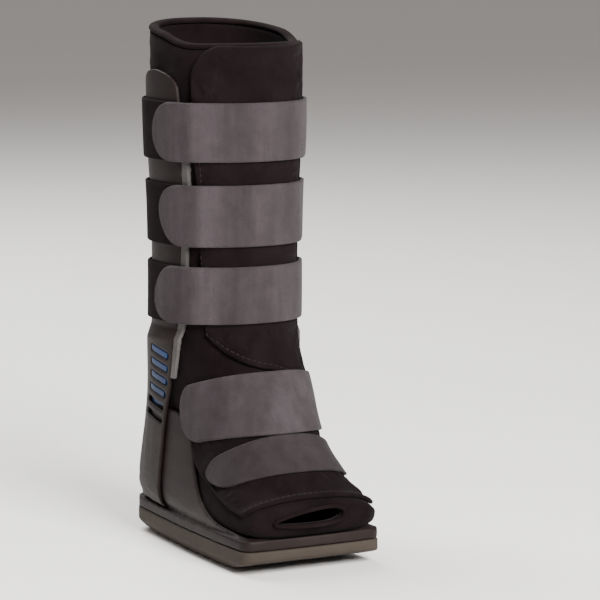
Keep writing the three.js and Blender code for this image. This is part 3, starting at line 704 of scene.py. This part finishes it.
def bootie():
    """The padded boot's body, from the rim round the toe opening to its lining."""
    count = 180
    turn = full_turn(count)
    s = np.concatenate([np.linspace(0, 5, 90), np.linspace(5, LAST, 122)[1:]])
    outer = surface(s[:, None], turn[None, :], -BOOTIE_INSET)
    drop = (BINDING + GAP) * (1 - step(0, 0.35, s))
    outer[..., 2] -= drop[:, None] + rim_dip(outer) * (1 - step(0, 0.6, s))[:, None]
    z = outer[..., 2]
    seated = step(-0.5, 0.5, s - (ANKLE_STATION + 1))[:, None] * (1 - step(*SHELL_HOLD, z))
    held = np.clip(np.maximum(strap_cover(z), seated), 0, 1)
    held[:2] = 1
    held[-2:] = 1
    lift = limited(cloth_lift(outer, held, BOOTIE_GROWTH, wrap=True), *BOOTIE_LIMITS)
    lift = lift + 0.2 * grain(outer, 0.16, 8)
    outer = outer + normals(outer, wrap=True) * (lift * step(0, 0.3, s)[:, None])[..., None]
    inner = surface(s[:, None], turn[None, :], -LINER_WALL)
    inner[..., 2] -= drop[:, None] + rim_dip(inner) * (1 - step(0, 0.6, s))[:, None]
    tip = surface(LAST, turn, -LINER_WALL * 0.4)
    tip[:, 1] += LINER_WALL * 0.8
    inner[-1] = tip
    inner[-2] = mix(inner[-2], tip, 0.35)
    front = []
    mouth = opening_ring(0, 0.4, count)
    for t in (0.25, 0.5, 0.75, 1.0):
        row = mix(outer[-1], mouth, t)
        row[:, 1] -= math.sin(math.pi * t) * 0.6
        front.append(row)
    throat = [
        opening_ring(2.0, -0.4, count),
        opening_ring(4.5, -0.4, count),
        opening_ring(LINER_WALL, 0, count),
    ]
    rings = np.concatenate([outer, front, throat, inner[::-1]])
    faces = grid_faces(len(rings), count, wrap=True)
    last = (len(rings) - 1) * count
    for c in range(count):
        d = (c + 1) % count
        faces.append([last + c, last + d, d, c])
    piece = facing_out(mesh_object("bootie", rings.reshape(-1, 3), faces))
    dress(piece, "foam_fabric", FOAM, "liner")


def rim_binding():
    """The folded tape over the rim of the bootie."""
    count = 240
    turn = full_turn(count)
    centre = surface(0, turn, -LINER_WALL / 2)
    centre[:, 2] -= BINDING / 2 + rim_dip(centre)
    out = surface(0, turn, 4) - surface(0, turn, 0)
    out /= np.linalg.norm(out, axis=1, keepdims=True)
    up = np.tile([0.0, 0.0, 1.0], (count, 1))
    piece = ring_tube("rim_tape", centre, BINDING / 2, LINER_WALL / 2 + 0.8, up, out, 20)
    return dress(piece, "binding_fabric", TAPE, "rim_binding")


def toe_binding():
    """The rolled tape round the toe opening."""
    count = 160
    centre = opening_ring(-1.2, 1.5, count)
    ahead = np.roll(centre, -1, axis=0) - np.roll(centre, 1, axis=0)
    ahead /= np.linalg.norm(ahead, axis=1, keepdims=True)
    out = np.cross(ahead, [0, 1, 0])
    up = np.tile([0.0, 1.0, 0.0], (count, 1))
    piece = ring_tube("toe_tape", centre, 1.1, 1.6, up, out, 12)
    return dress(piece, "binding_fabric", TAPE, "toe_binding")


def dome(distance, radius):
    """Height share of a rounded edge, from 0 at the edge to 1 a radius away from it."""
    left = np.clip(1 - np.asarray(distance, float) / radius, 0, 1)
    return np.sqrt(1 - left * left)


STRAP_EDGE = 1.3


def strap_sheet(
    name, turns, first, last, base, thickness, round_from, round_to, seed, rows=25, wave=0.0, fat=0.0
):
    """A flat strap on the bootie: turns along it, first and last station at each turn.

    round_from and round_to are the lengths of its rounded ends in millimetres, 0 for a cut end.
    wave is how much its face swells and sinks, and fat how much thicker it is in the middle."""
    middle = (first + last) / 2
    length = distances(surface(middle, turns, base))
    width = np.linalg.norm(surface(first, turns, base) - surface(last, turns, base), axis=1)
    ends = ((length, round_from), (length[-1] - length, round_to))
    share = np.ones(len(turns))
    for distance, radius in ends:
        if radius:
            share = np.minimum(share, np.maximum(dome(distance, radius), 0.02))
    v = np.sin(np.linspace(-math.pi / 2, math.pi / 2, rows))
    s = middle[:, None] + (last - first)[:, None] / 2 * v[None, :] * share[:, None]
    turn = np.repeat(turns[:, None], rows, axis=1)
    inner = surface(s, turn, base[:, None])
    edge = (1 - np.abs(v))[None, :] * (width * share / 2)[:, None]
    for distance, radius in ends:
        if not radius:
            edge = np.minimum(edge, distance[:, None])
    lift = thickness * (0.25 + 0.75 * dome(edge, STRAP_EDGE))
    wobble = wave * grain(inner * np.array([1, 1, 0.4]), 0.05, seed)
    crown = fat * np.cos(v * math.pi / 2)[None, :]
    outer = surface(s, turn, base[:, None] + lift + wobble + crown)
    inner = surface(s, turn, base[:, None] + 0.1)
    return slab(name, outer, inner)


def under_calf_strap(s, turn, points):
    """1 where a calf strap presses on the leg, 0 between the straps."""
    return strap_cover(points[..., 2])


def under_foot_strap(s, turn, points):
    """1 where the instep or the forefoot strap presses on the foot."""
    cover = np.zeros_like(s)
    for start, width, upper, lower, edge in (INSTEP_STRAP, FOREFOOT_STRAP):
        back = np.clip(np.abs(turn) / edge, 0, 1) ** 1.6
        first = station_along_instep(start) - upper * back
        last = station_along_instep(start + width) - lower * back
        here = step(-0.12, 0.12, s - first) * (1 - step(-0.12, 0.12, s - last))
        cover = np.maximum(cover, here * (np.abs(turn) < edge))
    return cover


# Seams: the length, the spacing and the thread's radius, in millimetres
STITCH = 3.2
STITCH_PITCH = 4.8
THREAD_RADIUS = 0.38


def inset_line(grid, distance, inset):
    """A sewn line: in each column of a grid, the point at a distance from its first row."""
    line = []
    for column in range(grid.shape[1]):
        gone = distance[:, column]
        line.append([np.interp(inset, gone, grid[:, column, axis]) for axis in range(3)])
    return np.array(line)


def stitches(name, lines):
    """Rows of short threads along lines of points in millimetres."""
    points = []
    faces = []
    sides = 6
    for line in lines:
        gone = distances(line)
        for start in np.arange(STITCH, gone[-1] - STITCH_PITCH, STITCH_PITCH):
            at = start + np.array([0, 0.15, 0.85, 1]) * STITCH
            spine = np.stack([np.interp(at, gone, line[:, axis]) for axis in range(3)], -1)
            along = spine[-1] - spine[0]
            along /= np.linalg.norm(along)
            across = np.cross(along, [0.3, 0.2, 0.93])
            across /= np.linalg.norm(across)
            rise = np.cross(along, across)
            first = len(points)
            for centre, width in zip(spine, (0.4, 1, 1, 0.4)):
                for k in range(sides):
                    a = 2 * math.pi * k / sides
                    ring = across * math.cos(a) + rise * math.sin(a)
                    points.append(centre + THREAD_RADIUS * width * ring)
            faces += grid_faces(4, sides, first, wrap=True)
            faces.append([first + k for k in range(sides)][::-1])
            faces.append([first + 3 * sides + k for k in range(sides)])
    dress(facing_out(mesh_object(name, points, faces)), "binding_fabric", THREAD)


def calf_span(index):
    """The stations of a calf strap's upper and lower edge."""
    low = STRAP_LEVELS[index]
    return station_at_height(low + STRAP_WIDTH), station_at_height(low)


def calf_straps():
    """Grey straps round the front of the leg, lying on the ends of the back bands."""
    for index in range(3):
        first, last = calf_span(index)
        start = STRAP_STARTS[index]
        t = np.linspace(0, 1, 190)
        turns = start + (STRAP_END - start) * t ** 1.15
        near_start = step(0, 1, (start + LAP_LEAD - turns) / LAP_RAMP)
        near_end = step(0, 1, (turns - STRAP_END + LAP_LEAD) / LAP_RAMP)
        base = STRAP_BASE + LAP_RISE * np.maximum(near_start, near_end)
        ones = np.ones(len(turns))
        piece = strap_sheet(
            "calf_strap_loop_%d" % (index + 1), turns, first * ones, last * ones, base, STRAP,
            24, 0, 11 + index, wave=0.55, fat=0.3,
        )
        dress(piece, "loop_fabric", LOOP, "calf_strap_%d" % (index + 1))


def back_bands():
    """Dark bands round the back of the leg, closer to it between the uprights than over them."""
    rear_opening = math.acos((UPRIGHT_WIDTH * 0.7 / DEPTH_HALF) ** 1.15) - rad(2)
    for index in range(3):
        first, last = calf_span(index)
        turns = np.linspace(STRAP_END - BAND_LAP, 2 * math.pi + STRAP_STARTS[index] + BAND_LAP, 170)
        back = np.clip(1 - np.abs(turns - math.pi) / rear_opening, 0, 1)
        base = mix(STRAP_BASE, LAYER_GAP, step(0, 1, np.minimum(back * 3, 1)))
        ones = np.ones(len(turns))
        piece = strap_sheet(
            "back_webbing_%d" % (index + 1), turns, first * ones, last * ones, base, BAND,
            0, 0, 21 + index, wave=0.2,
        )
        dress(piece, "band_fabric", WEBBING, "back_band_%d" % (index + 1))


# Each foot strap's start and width along the instep, in millimetres, then how many stations its
# upper and lower edge rise towards its ends (below 0 they sink), and the turn at which it ends
INSTEP_STRAP = (37, 55, 0.1, 0.9, rad(79))
FOREFOOT_STRAP = (37 + 55 + GAP, 36, -0.75, -0.2, rad(71))


def foot_strap(name, node, slot, look, place, seed):
    """A strap over the foot, rounded at both ends."""
    start, width, upper, lower, edge = place
    first = station_along_instep(start)
    last = station_along_instep(start + width)
    t = np.linspace(-1, 1, 150)
    turns = np.sign(t) * np.abs(t) ** 0.9 * edge
    back = (np.abs(turns) / edge) ** 1.6
    base = np.full(len(turns), STRAP_BASE)
    piece = strap_sheet(
        name, turns, first - upper * back, last - lower * back, base, STRAP,
        20, 20, seed, rows=33, wave=0.5, fat=0.4,
    )
    return dress(piece, slot, look, node)


def foot_straps():
    foot_strap("instep_strap_loop", "instep_strap", "loop_fabric", LOOP, INSTEP_STRAP, 31)
    foot_strap(
        "forefoot_strap_loop", "forefoot_strap", "dark_loop_fabric", DARK_LOOP, FOREFOOT_STRAP, 37
    )


# The flaps: FLAP_TOP is a station, FLAP_TIP and FOOT_FLAP_START are distances along the instep
STRIP_LEAD = UPRIGHT_WIDTH * 0.42 + GAP + STRIP_WIDTH
LATERAL_EDGE = rad(2.5) - math.acos((STRIP_LEAD / DEPTH_HALF) ** 1.15)
FLAP_TOP = 0.05
FLAP_TIP = 45
FLAP_TIP_TURN = rad(15)
FLAP_LEAN = rad(12.5)
FLAP_CORNER = 26
FOOT_FLAP_START = 48
FOOT_FLAP_EDGE = rad(76)
SEAM_INSET = 6.0


def flap_sheet(name, turns, first, last, lean, rows, covered, seed):
    """A padded flap with a rounded, bound edge all round, wrinkled where no strap covers it."""
    r = np.linspace(0, 1, rows)
    s = first[:, None] + (last - first)[:, None] * r[None, :]
    slant = lean * ((turns[-1] - turns) / (turns[-1] - turns[0]))[:, None] * r[None, :] ** 1.5
    turn = turns[:, None] + slant
    base = surface(s, turn, FLAP_BASE)
    inch = np.linalg.norm(np.diff(base, axis=1), axis=2)
    down = np.hstack([np.zeros((len(turns), 1)), np.cumsum(inch, axis=1)])
    inch = np.linalg.norm(np.diff(base, axis=0), axis=2)
    across = np.vstack([np.zeros((1, rows)), np.cumsum(inch, axis=0)])
    from_ends = np.minimum(down, down[:, -1:] - down)
    from_sides = np.minimum(across, across[-1:, :] - across)
    edge = np.minimum(from_ends, from_sides)
    hem = np.exp(-((edge - 3.0) / 1.6) ** 2)
    groove = np.exp(-((edge - SEAM_INSET) / 0.8) ** 2)
    cover = covered(s, turn, base)
    top = surface(s, turn, FLAP_BASE + FLAP)
    held = np.maximum(cover, 1 - step(1, 5, edge))
    wrinkles = limited(cloth_lift(top, held, FLAP_GROWTH), *FLAP_LIMITS)
    wrinkles = wrinkles * (1 - cover) * step(4, 10, edge)
    lift = FLAP * (0.2 + 0.8 * dome(edge, 2.2)) + 0.35 * hem - 0.5 * groove
    lift = lift + wrinkles + 0.25 * (1 - cover) * grain(base, 0.15, seed) - 0.3 * cover
    outer = surface(s, turn, FLAP_BASE + np.maximum(lift, 0.5))
    inner = surface(s, turn, FLAP_BASE + 0.05)
    side_seam = inset_line(outer, across, SEAM_INSET)
    from_below = (down[:, -1:] - down)[:, ::-1].T
    low_seam = inset_line(outer[:, ::-1].swapaxes(0, 1), from_below, SEAM_INSET)
    return slab(name, outer, inner), side_seam[4:-4], low_seam[4:-4]


def leg_flap():
    """The flap over the shin: its free edge slants forward to a tip over the instep."""
    turns = np.linspace(LATERAL_EDGE, -LATERAL_EDGE, 130)
    t = np.clip((turns - LATERAL_EDGE) / (FLAP_TIP_TURN - LATERAL_EDGE), 0, 1)
    last = np.array([station_along_instep(mix(2, FLAP_TIP, v ** 0.7)) for v in t])
    reach = np.linalg.norm(surface(1, turns, 0) - surface(1, turns[0], 0), axis=1)
    first = FLAP_TOP + 0.75 * (1 - dome(reach, FLAP_CORNER))
    piece, side_seam, low_seam = flap_sheet(
        "leg_flap_cover", turns, first, last, FLAP_LEAN, 220, under_calf_strap, 41
    )
    dress(piece, "foam_fabric", FOAM, "leg_flap")
    stitches("leg_flap_seam", [side_seam[14:], low_seam])


def foot_flap():
    """The flap over the foot, tucked behind the shell's walls."""
    turns = np.linspace(-FOOT_FLAP_EDGE, FOOT_FLAP_EDGE, 130)
    first = np.full(len(turns), station_along_instep(FOOT_FLAP_START))
    last = np.full(len(turns), LAST - 1.0)
    piece, _, low_seam = flap_sheet(
        "foot_flap_cover", turns, first, last, 0.0, 150, under_foot_strap, 47
    )
    dress(piece, "foam_fabric", FOAM, "foot_flap")
    stitches("foot_flap_seam", [low_seam])


def dressed_boot():
    """All pieces of the boot, the rigid ones first."""
    rigid_pieces()
    bootie()
    rim_binding()
    toe_binding()
    leg_flap()
    foot_flap()
    back_bands()
    calf_straps()
    foot_straps()


# Floor, light and camera
FLOOR_HALF = 60
FLOOR_COLOUR = (0.86, 0.845, 0.825)
WORLD_COLOUR = (1, 0.945, 0.92)
WORLD_STRENGTH = 0.33
LAMP_TARGET = (0, -0.03, 0.2)

# The photograph's view, in degrees, metres and, for the focal length, pixels of a 600-pixel picture
VIEW_AZIMUTH = -28
VIEW_DISTANCE = 2.6
VIEW_HEIGHT = 0.538
VIEW_TARGET_ASIDE = 0.0622
VIEW_TARGET_HEIGHT = 0.1986
SENSOR_WIDTH = 36
FOCAL_PIXELS = 3187
PICTURE_PIXELS = 600


def floor():
    h = FLOOR_HALF
    mesh = bpy.data.meshes.new("floor")
    mesh.from_pydata([(-h, -h, 0), (h, -h, 0), (h, h, 0), (-h, h, 0)], [], [(0, 1, 2, 3)])
    thing = bpy.data.objects.new("floor", mesh)
    bpy.context.scene.collection.objects.link(thing)
    look = bpy.data.materials.new("floor_paper")
    look.use_nodes = True
    shader = look.node_tree.nodes["Principled BSDF"]
    shader.inputs["Base Color"].default_value = (*FLOOR_COLOUR, 1)
    shader.inputs["Roughness"].default_value = 0.9
    shader.inputs["Specular IOR Level"].default_value = 0.2
    mesh.materials.append(look)


def lamp(name, azimuth, elevation, distance, size, power, colour=(1, 1, 1)):
    """A square soft light aimed at the boot. Azimuth 0 is in front of the toe, positive is medial."""
    data = bpy.data.lights.new(name, "AREA")
    data.shape = "SQUARE"
    data.size = size
    data.energy = power
    data.color = colour
    thing = bpy.data.objects.new(name, data)
    bpy.context.scene.collection.objects.link(thing)
    a, e = rad(azimuth), rad(elevation)
    target = Vector(LAMP_TARGET)
    way = Vector((math.sin(a) * math.cos(e), -math.cos(a) * math.cos(e), math.sin(e)))
    thing.location = target + way * distance
    thing.rotation_euler = (target - thing.location).to_track_quat("-Z", "Y").to_euler()


def light():
    """An even studio: a pale surround, a soft key light in front and a wide one behind."""
    world = bpy.data.worlds.new("studio")
    world.use_nodes = True
    background = world.node_tree.nodes["Background"]
    background.inputs["Color"].default_value = (*WORLD_COLOUR, 1)
    background.inputs["Strength"].default_value = WORLD_STRENGTH
    bpy.context.scene.world = world
    lamp("key", 0, 30, distance=2.4, size=1.1, power=165, colour=(1, 0.99, 0.975))
    lamp("fill", -95, 25, distance=2.4, size=1.6, power=1.5, colour=(0.97, 0.98, 1))
    lamp("back", 188, 54, distance=3, size=2, power=165)


def camera():
    """The view that the photograph was taken from."""
    data = bpy.data.cameras.new("view")
    data.sensor_width = SENSOR_WIDTH
    data.lens = SENSOR_WIDTH * FOCAL_PIXELS / PICTURE_PIXELS
    thing = bpy.data.objects.new("view", data)
    bpy.context.scene.collection.objects.link(thing)
    turn = rad(VIEW_AZIMUTH)
    away = VIEW_DISTANCE
    aside = VIEW_TARGET_ASIDE
    thing.location = (math.sin(turn) * away, -math.cos(turn) * away, VIEW_HEIGHT)
    target = Vector((math.cos(turn) * aside, math.sin(turn) * aside, VIEW_TARGET_HEIGHT))
    thing.rotation_euler = (target - thing.location).to_track_quat("-Z", "Y").to_euler()
    bpy.context.scene.camera = thing


camera()
floor()
light()
dressed_boot()
